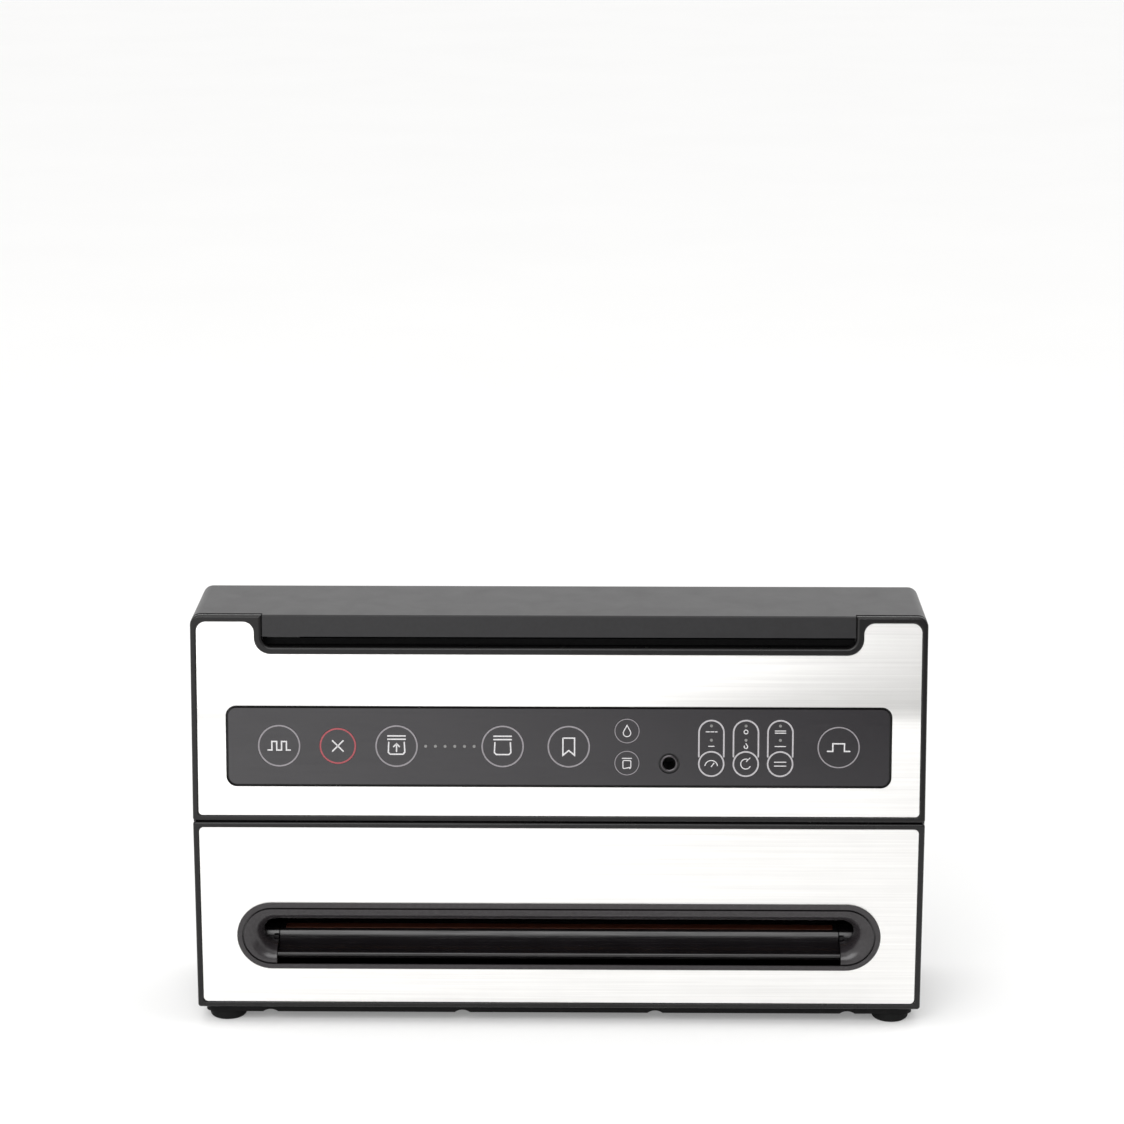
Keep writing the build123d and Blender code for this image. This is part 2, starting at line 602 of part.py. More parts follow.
def drip_tray():
    """Removable tray: its front is the slot's lower lip, its trough catches liquid."""
    side = Plane(origin=(-TRAY_HALF, FACE_Y, 0), x_dir=(0, 1, 0), z_dir=(1, 0, 0))
    underside, lip_top = NOSE_Z
    tip, top_end, under_end = LIP_BACK
    ramp = ramp_curve()
    outline = Polyline((RAMP_BACK, TRAY_RIM_Z), (TRAY_BACK, TRAY_RIM_Z), (TRAY_BACK, TRAY_Z),
                       (GRIP_BACK, TRAY_Z), (GRIP_BACK, underside - 0.9), (under_end, underside),
                       (tip, underside), (tip, lip_top), (top_end, lip_top))
    body = extrude(side * make_face([ramp, *outline.edges()]), 2 * TRAY_HALF)
    for back, radius in ((tip, 1.15), (RAMP_BACK, CREST_R)):
        y = FACE_Y + back
        body = fillet(pick(body.edges(), lambda c: abs(c.Y - y) < 0.01 and abs(c.X) < 1), radius)
    front, rear, floor = TROUGH
    rim = TRAY_HALF - 4.5
    trough = block(-rim, rim, front, rear, floor, TRAY_RIM_Z + 5)
    body -= fillet(trough.edges().filter_by(Axis.Z), 3.0)
    body -= block(-PAD_HALF, PAD_HALF, *SEAL_BACK, PAD_Z, TRAY_RIM_Z + 5)
    pocket = TRAY_HALF - 2.4
    return body - block(-pocket, pocket, GRIP_BACK + 2, SEAL_BACK[0] - 2, TRAY_Z - 1, TRAY_POCKET)


def seal_pad():
    """Silicone strip that the heating bar presses on."""
    top = TRAY_RIM_Z + PAD_PROUD
    pad = block(-PAD_HALF, PAD_HALF, *SEAL_BACK, PAD_Z, top)
    return fillet(pick(pad.edges(), lambda c: abs(c.Z - top) < 0.01 and abs(c.X) < 1), 0.25)


def slot_shoulder(x0, x1, front):
    """A fixed block beside the tray that carries the ramp's line on to the end of the slot."""
    side = Plane(origin=(x0, FACE_Y, 0), x_dir=(0, 1, 0), z_dir=(1, 0, 0))
    low, rear = 35, 30
    outline = Polyline((RAMP_BACK, TRAY_RIM_Z), (rear, TRAY_RIM_Z), (rear, low), (LIP_BACK[1], low),
                       (LIP_BACK[1], NOSE_Z[1]))
    body = extrude(side * make_face([ramp_curve(), *outline.edges()]), x1 - x0)
    y = FACE_Y + RAMP_BACK
    crest = pick(body.edges(), lambda c: abs(c.Y - y) < 0.01 and abs(c.Z - TRAY_RIM_Z) < 0.01)
    return fillet(crest, CREST_R) & block(x0, x1, front, rear, low, TRAY_RIM_Z)


def tray_cradle():
    """Shelf that the tray slides on, with side rails, a rear stop and bearings for the lift shaft."""
    front, floor, rail = 14.2, 35.2, 46.5
    inside = TRAY_CUT + 0.2
    body = block(-INNER + 0.1, INNER - 0.1, front, 68, floor - 2.2, floor)
    body += mirrored(block(inside, inside + 2.5, front, 66, floor - 0.2, rail))
    body += block(-TRAY_CUT - 2, TRAY_CUT + 2, 63.0, 65.5, floor - 0.2, rail)
    body += mirrored(slot_shoulder(inside, FUNNEL_THROAT[0] + 4, front))
    # upright plates with the shaft's bearings, braced by webs
    body += mirrored(block(176, 179, front, 66, floor - 0.1, 92))
    body += mirrored(block(178, INNER - 0.1, 40, 43, floor - 0.1, 64))
    return body - rod(-180, 180, *SHAFT, SHAFT_R + 0.06)


def upper_jaw():
    """Ribbed pressing plate with a hollow stub for the suction."""
    front, rear, wall = 15.5, 62.5, 3.0
    body = block(-JAW_HALF, JAW_HALF, front, rear, JAW_Z, JAW_TOP)
    body = fillet(body.edges().filter_by(Axis.Z), wall)
    body -= block(-JAW_HALF + wall, JAW_HALF - wall, front + wall, rear - wall, 65.0, JAW_TOP + 1)
    for x in range(-140, 141, 40):
        body += block(x - 1, x + 1, front + 2.5, rear - 2.5, 64, JAW_TOP)
    body += post(*SUCTION, 64, 90, 4.0)
    return body - post(*SUCTION, 55, 95, 2.2)


def heating_bar():
    """Bar under the jaw that carries the heating bands."""
    return block(-160, 160, SEAL_BACK[0] - 0.5, SEAL_BACK[1] + 0.5, HEATER_Z, JAW_Z)


def heating_wires():
    """Two flat nichrome bands for the double seam."""
    half = 1.2
    return [block(-157, 157, b - half, b + half, HEATER_Z - WIRE, HEATER_Z) for b in (21.7, 25.3)]


def ptfe_tape():
    """Non-stick tape over the heating bands."""
    top = HEATER_Z - WIRE
    return block(-159, 159, SEAL_BACK[0] - 0.8, SEAL_BACK[1] + 0.8, top - TAPE, top)


def jaw_gasket():
    """Foam ring that closes on the tray's rim."""
    half, front, rear, foam = 154.8, 28.6, 61.6, 3.2
    outer = block(-half, half, front, rear, GASKET_Z, JAW_Z)
    inner = block(-half + foam, half - foam, front + foam, rear - foam, GASKET_Z - 1, JAW_Z + 1)
    outer = fillet(outer.edges().filter_by(Axis.Z), 4.0)
    inner = fillet(inner.edges().filter_by(Axis.Z), 2.0)
    return outer - inner


def rack(x0, x1):
    """Upright rack with its teeth facing the rear; a gap is level with the shaft at rest."""
    pitch = math.pi * MODULE
    slope = math.tan(math.radians(PRESSURE_ANGLE))
    line = SHAFT[0] - MODULE * PINION_TEETH / 2
    low, high = RACK_Z
    tip = pitch / 4 - BACKLASH / 2 - MODULE * slope
    root = pitch / 4 - BACKLASH / 2 + 1.25 * MODULE * slope
    valley = line - 1.25 * MODULE
    points = [(line - RACK_BODY, low), (valley, low)]
    first = math.ceil((low + root - SHAFT[1]) / pitch - 0.5)
    last = math.ceil((high - root - SHAFT[1]) / pitch - 0.5)
    for k in range(first, last):
        middle = SHAFT[1] + (k + 0.5) * pitch
        points += [(valley, middle - root), (line + MODULE, middle - tip),
                   (line + MODULE, middle + tip), (valley, middle + root)]
    points += [(valley, high), (line - RACK_BODY, high)]
    return side_prism(points, x0, x1)


def jaw_racks():
    """A rack at each end of the jaw, with a foot that joins it to the jaw."""
    foot = block(JAW_HALF, 171, 36, 48, 61, 67)
    right = rack(165, 170) + foot
    return [right, mirror(right, Plane.YZ)]


def jaw_guides():
    """Plates that guide the racks and carry the lift shaft."""
    line = SHAFT[0] - MODULE * PINION_TEETH / 2
    front, top = 33, 90
    plate = block(172.2, 176.0, front, 58, 60, top)
    shoe = block(164.6, 173, front, line - 5.2, 74, top)
    right = plate + shoe - rod(160, 180, *SHAFT, SHAFT_R + 0.06)
    return [right, mirror(right, Plane.YZ)]


def lift_shaft():
    """Shaft behind the racks, from the left bearing to the driven gear."""
    return rod(-178, 191, *SHAFT, SHAFT_R)


def shaft_gears():
    """Two lifting pinions and the driven gear, pressed on the lift shaft."""
    right = gear(PINION_TEETH, 180, *RACK_GEAR_X, *SHAFT, SHAFT_R)
    left = gear(PINION_TEETH, 180, -RACK_GEAR_X[1], -RACK_GEAR_X[0], *SHAFT, SHAFT_R)
    driven = gear(GEAR_TEETH, MOTOR_DIRECTION, *GEAR_X, *SHAFT, SHAFT_R)
    return [right, left, driven]


def motor_axis():
    """Back and height of the lift motor's axis, from the distance between the two gears."""
    distance = MODULE * (PINION_TEETH + GEAR_TEETH) / 2
    angle = math.radians(MOTOR_DIRECTION)
    return SHAFT[0] + distance * math.cos(angle), SHAFT[1] + distance * math.sin(angle)


def motor_pinion():
    """The motor's output shaft and pinion; a tooth gap faces the driven gear's tooth."""
    back, z = motor_axis()
    turn = MOTOR_DIRECTION + 180 + 180 / PINION_TEETH
    shaft = rod(182, GEAR_X[1] + 0.5, back, z, MOTOR_SHAFT_R)
    return gear(PINION_TEETH, turn, *GEAR_X, back, z, MOTOR_SHAFT_R) + shaft


def lift_motor():
    """Geared motor: can, gearbox, mounting plate and rear bearing."""
    back, z = motor_axis()
    can, gearbox, plate = 130, 160, 179.5
    end = plate + 2
    body = rod(can, gearbox, back, z, 10.5) + rod(gearbox, end, back, z, 11.5)
    body += block(plate, end, back - 14, back + 14, z - 11, z + 11)
    body += rod(can - 3, can, back, z, 3.5)
    return body - rod(end - 3.5, end + 2.5, back, z, 1.6)


# ---- pneumatics ---------------------------------------------------------
PUMP = (60.0, 128.0)     # back and height of the pump's axis
PUMP_X = (-146.0, -100.0)        # left and right ends of the pump's body
STUB = (8.0, 21.0)       # how far the hose stubs are from the pump's axis, across and up
VALVE = (-24.0, 45.0)    # x and back of the release valve's plunger
VALVE_STUB = (44.0, 150.0)       # back and height of the valve's hose stub


def suction_manifold():
    """Fixed sleeve round the jaw's suction stub, with a side outlet and a foot on the rear wall."""
    x, back = SUCTION
    outlet_z, bore = 95, 1.8
    body = post(x, back, 79, 105, 7.0) - post(x, back, 78, 102, 4.1)
    body += block(x - 4, x + 4, 44, DEPTH - WALL - 0.1, 101, 105)
    body += spindle(x, 44.5, 54, outlet_z, 3.2)
    return body - spindle(x, 40, 55, outlet_z, bore)


def pump_head():
    """Pump body with an open crank chamber, a finned head and two hose stubs at its left end."""
    back, z = PUMP
    left, right = PUMP_X
    across, up = STUB
    depth, height = 22, 18               # half of the body's depth and height
    body = block(left, right, back - depth, back + depth, z - height, z + height)
    body = fillet(body.edges().filter_by(Axis.X), 5)
    head = z + 26
    body += block(left + 4, right - 4, back - 14, back + 14, z + height - 1, head)
    for i in range(4):
        fin = left + 5 + i * 10
        body += block(fin, fin + 4, back - 16, back + 16, head - 1, head + 3)
    body -= rod(left + 3, right + 1, back, z, 15)
    for offset in (-across, across):
        stub = back + offset
        body += rod(left - 10, left + 1, stub, z + up, 3.0)
        body += block(left, left + 5, stub - 4, stub + 4, z + height, head - 1)
        body -= rod(left - 11, left, stub, z + up, 1.6)
    return body


def pump_motor():
    """Motor can with a front flange and a rear bearing."""
    back, z = PUMP
    flange, can_end = PUMP_X[1], -52
    body = rod(flange + 0.5, can_end, back, z, 16.5) + rod(flange, flange + 2, back, z, 18)
    body += rod(can_end, can_end + 3, back, z, 6)
    return body - rod(flange - 3, can_end + 6, back, z, 1.7)


def pump_rotor():
    """Motor shaft with the crank disc in the pump and a cooling fan at the other end."""
    back, z = PUMP
    tail = -40
    throw = 2.5
    body = rod(-128, tail, back, z, 1.5)
    body += rod(-126, -116, back + throw, z, 9)
    body += rod(-115, -112, back, z - 3, 11) & block(-116, -111, back - 12, back + 12, z - 14, z)
    body += rod(tail - 7, tail, back, z, 5)
    blade = Pos(0, 0, 10) * Rot(0, 0, 30) * Box(1.2, 6, 12)
    for i in range(8):
        body += Pos(tail - 3.5, FACE_Y + back, z) * Rot(45 * i, 0, 0) * blade
    return body


def hose(points, radii, radius, bore):
    """A hose along straight runs joined by tangent arcs."""
    line = FilletPolyline(*[(x, FACE_Y + b, z) for x, b, z in points], radius=radii)
    start = Plane(origin=line @ 0, z_dir=line % 0)
    return sweep(start * (Circle(radius) - Circle(bore)), path=line)


def suction_hose():
    """From the manifold's outlet to the pump's inlet."""
    back, z = PUMP
    across, up = STUB
    outlet_z = 95
    points = [(SUCTION[0], 47.5, outlet_z), (SUCTION[0], 68, outlet_z), (-152, 74, 96), (-172, 62, 140),
              (-170, back - across, z + up), (PUMP_X[0] - 2.5, back - across, z + up)]
    return hose(points, [8, 20, 12, 8], 4.3, 3.25)


def port_hose():
    """From the accessory port's barb to the release valve."""
    start = UPPER.from_local_coords(Vector(*PORT, -16.8))
    bend = UPPER.from_local_coords(Vector(*PORT, -30.0))
    run = [(v.X, v.Y - FACE_Y, v.Z) for v in (start, bend)]
    back, z = VALVE_STUB
    return hose([*run, (40, back, z + 2), (-6, back, z)], [9, 14], 5.5, 4.6)


def release_valve():
    """Solenoid valve that lets air back into the chamber."""
    back, z = VALVE_STUB
    x, bore_back = VALVE
    body = block(x - 10, x + 10, 36, 54, z - 12, z + 10)
    body = fillet(body.edges().filter_by(Axis.Z), 2)
    body += rod(x + 9.9, x + 19, back, z, 4.5)
    body -= rod(x + 6, x + 20, back, z, 2.0)
    return body - post(x, bore_back, z - 20, z + 2, 3.0)


def valve_plunger():
    """Plunger with a wider head below the valve."""
    head_top = 128
    return post(*VALVE, head_top, 147, 2.8) + post(*VALVE, head_top - 4, head_top, 4.5)


# ---- electrics ----------------------------------------------------------
CORE_X = (18.0, 78.0)    # the transformer's core
CORE_BACK = (40.0, 60.0)
WINDOWS = ((28.0, 42.0), (54.0, 68.0))
WINDOW_Z = (98.0, 128.0)
BOARD = (70.0, 184.0, 122.0, 204.0)      # left, right, bottom and top of the main board
BOARD_BACK = 88.0        # its component side


def transformer_core():
    """Laminated core with two windows for the coil, on a foot plate."""
    bottom, top, foot = 88, 138, 6
    core = block(*CORE_X, *CORE_BACK, bottom, top)
    for window in WINDOWS:
        core -= block(*window, CORE_BACK[0] - 2, CORE_BACK[1] + 2, *WINDOW_Z)
    return core + block(CORE_X[0] - foot, CORE_X[1] + foot, *CORE_BACK, bottom, bottom + 2)


def transformer_coil():
    """Winding round the core's middle leg."""
    gap = 0.2
    (left, leg_left), (leg_right, right) = WINDOWS
    low, high = WINDOW_Z
    coil = block(left + gap, right - gap, 30, 70, low + gap, high - gap)
    coil = fillet(coil.edges().filter_by(Axis.Z), 5)
    return coil - block(leg_left - gap, leg_right + gap, CORE_BACK[0] - gap, CORE_BACK[1] + gap, 90, 140)


def main_board():
    """Power and control board on the rear wall."""
    x0, x1, z0, z1 = BOARD
    board = block(x0, x1, BOARD_BACK, BOARD_BACK + 1.6, z0, z1)
    for x in (x0 + 5, x1 - 5):
        for z in (z0 + 5, z1 - 5):
            board -= spindle(x, BOARD_BACK - 2, BOARD_BACK + 4, z, 1.6)
    return board


def board_components():
    """Relays, capacitors, a heat sink, plugs and the controller, each standing on the main board."""
    relays = [block(x, x + 14, 76.5, BOARD_BACK, 185, 200) for x in (80, 98, 116)]
    capacitors = [spindle(x, 64, BOARD_BACK, 140, 6.5) for x in (150, 166)]
    sink = block(84, 118, 70, BOARD_BACK, 128, 131)
    for i in range(6):
        sink += block(84 + i * 6, 86 + i * 6, 70, BOARD_BACK, 130, 154)
    plugs = [block(x, x + 11, 79, BOARD_BACK, 186, 194) for x in (140, 154, 168)]
    controller = block(128, 148, 84, BOARD_BACK, 160, 172)
    return [*relays, *capacitors, sink, *plugs, controller]


def power_inlet():
    """Mains inlet with a rounded socket and three flat contacts."""
    x0, x1, z0, z1 = INLET
    wall = 3.0
    body = block(x0, x1, 78, 94.8, z0, z1)
    body = fillet(body.edges().filter_by(Axis.Y), 3)
    body -= block(x0 + wall, x1 - wall, 82, 96, z0 + wall, z1 - wall)
    middle = (x0 + x1) / 2
    for offset, low in ((-6, 35), (0, 37), (6, 35)):
        x = middle + offset
        body += block(x - 1, x + 1, 79, 91, low, low + 4)
    return body


# ---- base ---------------------------------------------------------------
BASE_VENTS = (28.0, 54.0)        # front and rear ends of the slots in the base
SCREW_SPOTS = [(x, b) for x in (-150, 0, 150) for b in (20, 84)]
SCREW_HEAD_TOP = 8.4
SCREW_HEAD_R = 3.2
SCREW_R = 1.5


def base_plate():
    """Base with a raised part inside the walls, notches in its front edge, vents and screw holes."""
    low = FOOT_H
    body = block(-HALF + 4, HALF - 4, 2.2, DEPTH - 2, low, FRAME_Z)
    body = fillet(body.edges().filter_by(Axis.Z), 5)
    inside = INNER - 0.3
    raised = 11.6
    body += block(-inside, inside, 4.0, DEPTH - WALL - 0.3, FRAME_Z - 0.1, raised)
    arch, rise = 7.0, 1.4                # radius of the notches' arch, and its height
    for x in (-160, -53.5, 53.5, 160):
        body -= spindle(x, 0, 12, low + rise - arch, arch)
    for i in range(9):
        x = -44 + i * 10
        body -= block(x, x + 4, *BASE_VENTS, low - 1, raised + 1)
    for x, b in SCREW_SPOTS:
        body -= post(x, b, low - 1, SCREW_HEAD_TOP, SCREW_HEAD_R + 0.2)
        body -= post(x, b, low - 1, raised + 1, SCREW_R + 0.2)
    return body


def rubber_feet():
    """Four round feet with a rounded lower edge."""
    feet = []
    for x in (-FOOT_X, FOOT_X):
        for b in FOOT_BACK:
            foot = post(x, b, 0, FOOT_H, FOOT_R)
            feet.append(fillet(foot.edges().sort_by(Axis.Z)[0], 2.2))
    return feet


def case_screws():
    """Pan-head screws with a cross recess, that hold the base plate."""
    head_bottom, slot_top, slot, cross = 6.6, 7.6, 0.4, 2
    screws = []
    for x, b in SCREW_SPOTS:
        screw = post(x, b, head_bottom, SCREW_HEAD_TOP, SCREW_HEAD_R)
        screw += post(x, b, SCREW_HEAD_TOP - 0.1, 20, SCREW_R)
        screw -= block(x - cross, x + cross, b - slot, b + slot, 6, slot_top)
        screw -= block(x - slot, x + slot, b - cross, b + cross, 6, slot_top)
        screws.append(screw)
    return screws


PARTS = {
    "upper_housing": upper_housing, "lower_housing": lower_housing, "base_plate": base_plate,
    "rubber_feet": rubber_feet, "case_screws": case_screws,
    "upper_front_frame": upper_front_frame, "upper_front_plate": upper_front_plate,
    "lower_front_frame": lower_front_frame, "lower_front_plate": lower_front_plate,
    "control_overlay": control_overlay, "indicator_lenses": indicator_lenses,
    "control_board": control_board, "key_switches": key_switches, "hose_port": hose_port,
    "slot_bezel": slot_bezel, "tray_cradle": tray_cradle, "roll_trough": roll_trough,
    "roll_deck": roll_deck,
    "jaw_guides": jaw_guides, "suction_manifold": suction_manifold, "suction_hose": suction_hose,
    "port_hose": port_hose, "release_valve": release_valve, "valve_plunger": valve_plunger,
    "pump_head": pump_head, "pump_motor": pump_motor, "pump_rotor": pump_rotor,
    "transformer_core": transformer_core, "transformer_coil": transformer_coil,
    "main_board": main_board, "board_components": board_components, "power_inlet": power_inlet,
    "lift_motor": lift_motor, "lift_shaft": lift_shaft, "shaft_gears": shaft_gears,
    "motor_pinion": motor_pinion, "roll_lid": roll_lid, "lid_hinge_pins": lid_hinge_pins,
    "cutter_bar": cutter_bar, "cutter_carriage": cutter_carriage, "cutter_blade": cutter_blade,
    "drip_tray": drip_tray, "seal_pad": seal_pad, "upper_jaw": upper_jaw, "heating_bar": heating_bar,
    "heating_wires": heating_wires, "ptfe_tape": ptfe_tape, "jaw_gasket": jaw_gasket,
    "jaw_racks": jaw_racks,
}


def solids_of(made):
    """The solids of a shape, or of a list of shapes."""
    shapes = made if isinstance(made, (list, ShapeList)) else [made]
    return [s for shape in shapes for s in shape.solids()]


def write(name, made):
    export_step(Compound(children=solids_of(made)), f"parts/{name}.step")


os.makedirs("parts", exist_ok=True)
for name, make in PARTS.items():
    write(name, make())
for name, (u, v, r) in KEYS.items():
    write(f"key_{name}", key(u, v, r))
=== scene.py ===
"""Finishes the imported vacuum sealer: materials, the printed key panel, the studio and the camera.

Everything is in metres and in the frame of the CAD model: +X to the viewer's right, -Y the front, +Z up.
"""
import json
import math

import bmesh
import bpy
from mathutils import Matrix, Vector


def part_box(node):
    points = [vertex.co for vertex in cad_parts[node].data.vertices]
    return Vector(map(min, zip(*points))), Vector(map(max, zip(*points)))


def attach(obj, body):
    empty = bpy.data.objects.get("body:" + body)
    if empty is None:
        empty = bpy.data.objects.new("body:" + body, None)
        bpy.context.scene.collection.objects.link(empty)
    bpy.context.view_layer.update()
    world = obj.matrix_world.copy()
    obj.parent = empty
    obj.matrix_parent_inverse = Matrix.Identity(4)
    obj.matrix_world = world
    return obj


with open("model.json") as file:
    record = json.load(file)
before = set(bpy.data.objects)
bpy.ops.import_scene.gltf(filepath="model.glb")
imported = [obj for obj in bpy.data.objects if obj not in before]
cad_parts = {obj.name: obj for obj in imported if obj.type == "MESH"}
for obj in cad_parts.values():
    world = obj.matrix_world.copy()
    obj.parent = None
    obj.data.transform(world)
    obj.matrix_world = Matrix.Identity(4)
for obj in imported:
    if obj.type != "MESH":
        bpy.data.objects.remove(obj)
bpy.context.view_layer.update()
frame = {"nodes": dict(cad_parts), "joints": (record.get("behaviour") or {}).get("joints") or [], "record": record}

MM = 0.001
UNIT = (1.0, 1.0, 1.0)
NODES = frame["nodes"]
KEY_NODES = [name for name in NODES if name.startswith("key_") and name != "key_switches"]


# ---- shader helpers -------------------------------------------------------
class Surface:
    """A material with one principled shader, and short calls for the texture nodes that feed it."""

    def __init__(self, name, roughness=0.5, metallic=0.0, specular=0.5):
        self.material = bpy.data.materials.new(name)
        self.material.use_nodes = True
        self.tree = self.material.node_tree
        self.shader = self.tree.nodes["Principled BSDF"]
        self.shader.inputs["Roughness"].default_value = roughness
        self.shader.inputs["Metallic"].default_value = metallic
        self.shader.inputs["Specular IOR Level"].default_value = specular

    def add(self, kind, **settings):
        node = self.tree.nodes.new(kind)
        for key, value in settings.items():
            setattr(node, key, value)
        return node

    def link(self, source, target):
        self.tree.links.new(source, target)

    def coords(self, scale):
        """Object coordinates stretched by scale, so that 1 / scale is a feature's size in metres."""
        place = self.add("ShaderNodeTexCoord")
        stretch = self.add("ShaderNodeMapping")
        stretch.inputs["Scale"].default_value = scale
        self.link(place.outputs["Object"], stretch.inputs["Vector"])
        return stretch.outputs["Vector"]

    def noise(self, scale, detail=3.0, roughness=0.55, distortion=0.0):
        """Noise from 0 to 1; scale is one number or one for each axis."""
        each = scale if isinstance(scale, tuple) else (scale, scale, scale)
        node = self.add("ShaderNodeTexNoise")
        node.inputs["Scale"].default_value = 1.0
        node.inputs["Detail"].default_value = detail
        node.inputs["Roughness"].default_value = roughness
        node.inputs["Distortion"].default_value = distortion
        self.link(self.coords(each), node.inputs["Vector"])
        return node.outputs["Fac"]

    def cells(self, scale):
        """Distance from the middle of each cell, for pebbled surfaces."""
        node = self.add("ShaderNodeTexVoronoi")
        node.inputs["Scale"].default_value = 1.0
        self.link(self.coords((scale, scale, scale)), node.inputs["Vector"])
        return node.outputs["Distance"]

    def remap(self, value, low, high, to_low=0.0, to_high=1.0):
        """Takes low..high to to_low..to_high, and stays within them."""
        node = self.add("ShaderNodeMapRange")
        node.inputs["From Min"].default_value = low
        node.inputs["From Max"].default_value = high
        node.inputs["To Min"].default_value = to_low
        node.inputs["To Max"].default_value = to_high
        self.link(value, node.inputs["Value"])
        return node.outputs["Result"]

    def sum(self, first, second, share=1.0):
        """first + share * second."""
        node = self.add("ShaderNodeMath", operation="MULTIPLY_ADD")
        self.link(second, node.inputs[0])
        node.inputs[1].default_value = share
        self.link(first, node.inputs[2])
        return node.outputs["Value"]

    def blend(self, factor, first, second):
        """A colour between first and second; each is a colour or another node's output."""
        node = self.add("ShaderNodeMix", data_type="RGBA")
        self.link(factor, node.inputs["Factor"])
        for socket, colour in (("A", first), ("B", second)):
            slot = next(s for s in node.inputs if s.name == socket and s.type == "RGBA")
            if isinstance(colour, tuple):
                slot.default_value = (*colour, 1.0)
            else:
                self.link(colour, slot)
        return next(s for s in node.outputs if s.type == "RGBA")

    def colour(self, output):
        self.link(output, self.shader.inputs["Base Color"])

    def mottle(self, value, low, high, dark, light):
        """A base colour that goes from dark to light as value goes from low to high."""
        self.colour(self.blend(self.remap(value, low, high), dark, light))

    def rough(self, output):
        self.link(output, self.shader.inputs["Roughness"])

    def bump(self, height, distance, strength=1.0):
        node = self.add("ShaderNodeBump")
        node.inputs["Strength"].default_value = strength
        node.inputs["Distance"].default_value = distance
        self.link(height, node.inputs["Height"])
        self.link(node.outputs["Normal"], self.shader.inputs["Normal"])


# ---- materials ------------------------------------------------------------
FINE_TEXTURE = 0.005 * MM        # bump depth of satin plastics
FADED_INK = 0.78                 # brightness of ink where its cover is thin, against where it is full


def moulded_plastic(name, dark, light, roughness, grain=1600.0, depth=0.03 * MM, specular=0.5):
    """Injection-moulded plastic: fine spark-eroded grain, faint cloudiness and handling marks."""
    look = Surface(name, roughness, specular=specular)
    clouds = look.noise(420.0, detail=5.0)
    look.mottle(clouds, 0.3, 0.7, dark, light)
    marks = look.noise((60.0, 60.0, 35.0), detail=5.0, distortion=0.4)
    look.rough(look.remap(marks, 0.3, 0.75, roughness - 0.02, roughness + 0.03))
    fine = look.sum(look.noise(grain, detail=2.0), look.cells(grain * 0.8), 0.5)
    look.bump(fine, depth, 0.6)
    return look.material


def polished_plastic(name, dark, light, roughness):
    """Polished black plastic with hairline wiping scratches and a trace of dust."""
    look = Surface(name, roughness)
    haze = look.noise(35.0, detail=5.0)
    look.mottle(haze, 0.35, 0.75, dark, light)
    wiping = look.noise((25.0, 900.0, 900.0), detail=3.0)
    look.rough(look.remap(wiping, 0.35, 0.8, roughness * 0.7, roughness * 1.8))
    look.bump(look.noise((8.0, 30.0, 30.0), detail=1.0), 0.2 * MM, 0.15)
    return look.material


def port_gloss(name):
    """Black nickel on the rounded rim of the accessory port, and plain black round and behind it."""
    look = Surface(name, 0.22)
    distance = look.add("ShaderNodeVectorMath", operation="DISTANCE")
    look.link(look.coords(UNIT), distance.inputs[0])
    distance.inputs[1].default_value = PORT_SPOT
    near = look.remap(distance.outputs["Value"], PORT_RIM, PORT_RIM + 0.1 * MM, 1.0, 0.0)
    look.link(near, look.shader.inputs["Metallic"])
    tarnish = look.noise(900.0, detail=4.0)
    nickel = look.blend(tarnish, (0.07, 0.065, 0.07), (0.11, 0.105, 0.11))
    look.colour(look.blend(near, (0.006, 0.006, 0.0065), nickel))
    look.rough(look.remap(tarnish, 0.3, 0.7, 0.18, 0.28))
    look.bump(look.noise(3000.0, detail=2.0), 0.004 * MM, 0.4)
    return look.material


def brushed_steel(name):
    """Stainless sheet brushed along X, with long fine lines and fainter short ones."""
    look = Surface(name, 0.36, metallic=1.0)
    look.shader.inputs["Anisotropic"].default_value = 0.75
    look.shader.inputs["Anisotropic Rotation"].default_value = 0.25
    lines = look.noise((14.0, 1.0, 4200.0), detail=4.0, roughness=0.7)
    bands = look.noise((5.0, 1.0, 700.0), detail=3.0)
    patches = look.noise((16.0, 10.0, 30.0), detail=3.0)
    tone = look.sum(look.sum(bands, lines, 0.6), patches, 0.35)
    look.mottle(tone, 0.7, 1.25, (0.80, 0.792, 0.78), (0.94, 0.934, 0.92))
    look.rough(look.remap(lines, 0.25, 0.75, 0.30, 0.42))
    look.bump(look.sum(lines, bands, 0.6), 0.06 * MM, 0.5)
    return look.material


def plain_steel(name, tint=(0.62, 0.62, 0.63), roughness=0.3):
    """Turned or ground steel with fine machining lines across X."""
    look = Surface(name, roughness, metallic=1.0)
    turning = look.noise((2500.0, 40.0, 40.0), detail=3.0)
    darker = tuple(c * 0.8 for c in tint)
    look.colour(look.blend(look.noise(120.0, detail=4.0), darker, tint))
    look.rough(look.remap(turning, 0.3, 0.7, roughness * 0.7, roughness * 1.5))
    look.bump(turning, 0.02 * MM, 0.4)
    return look.material


def rubber(name, dark, light, roughness=0.8):
    """Soft rubber or silicone with a powdery bloom."""
    look = Surface(name, roughness, specular=0.2)
    bloom = look.noise(90.0, detail=6.0, roughness=0.7)
    look.mottle(bloom, 0.4, 0.7, dark, light)
    look.rough(look.remap(bloom, 0.3, 0.7, roughness - 0.1, roughness + 0.08))
    look.bump(look.noise(2200.0, detail=2.0), 0.05 * MM, 0.5)
    return look.material


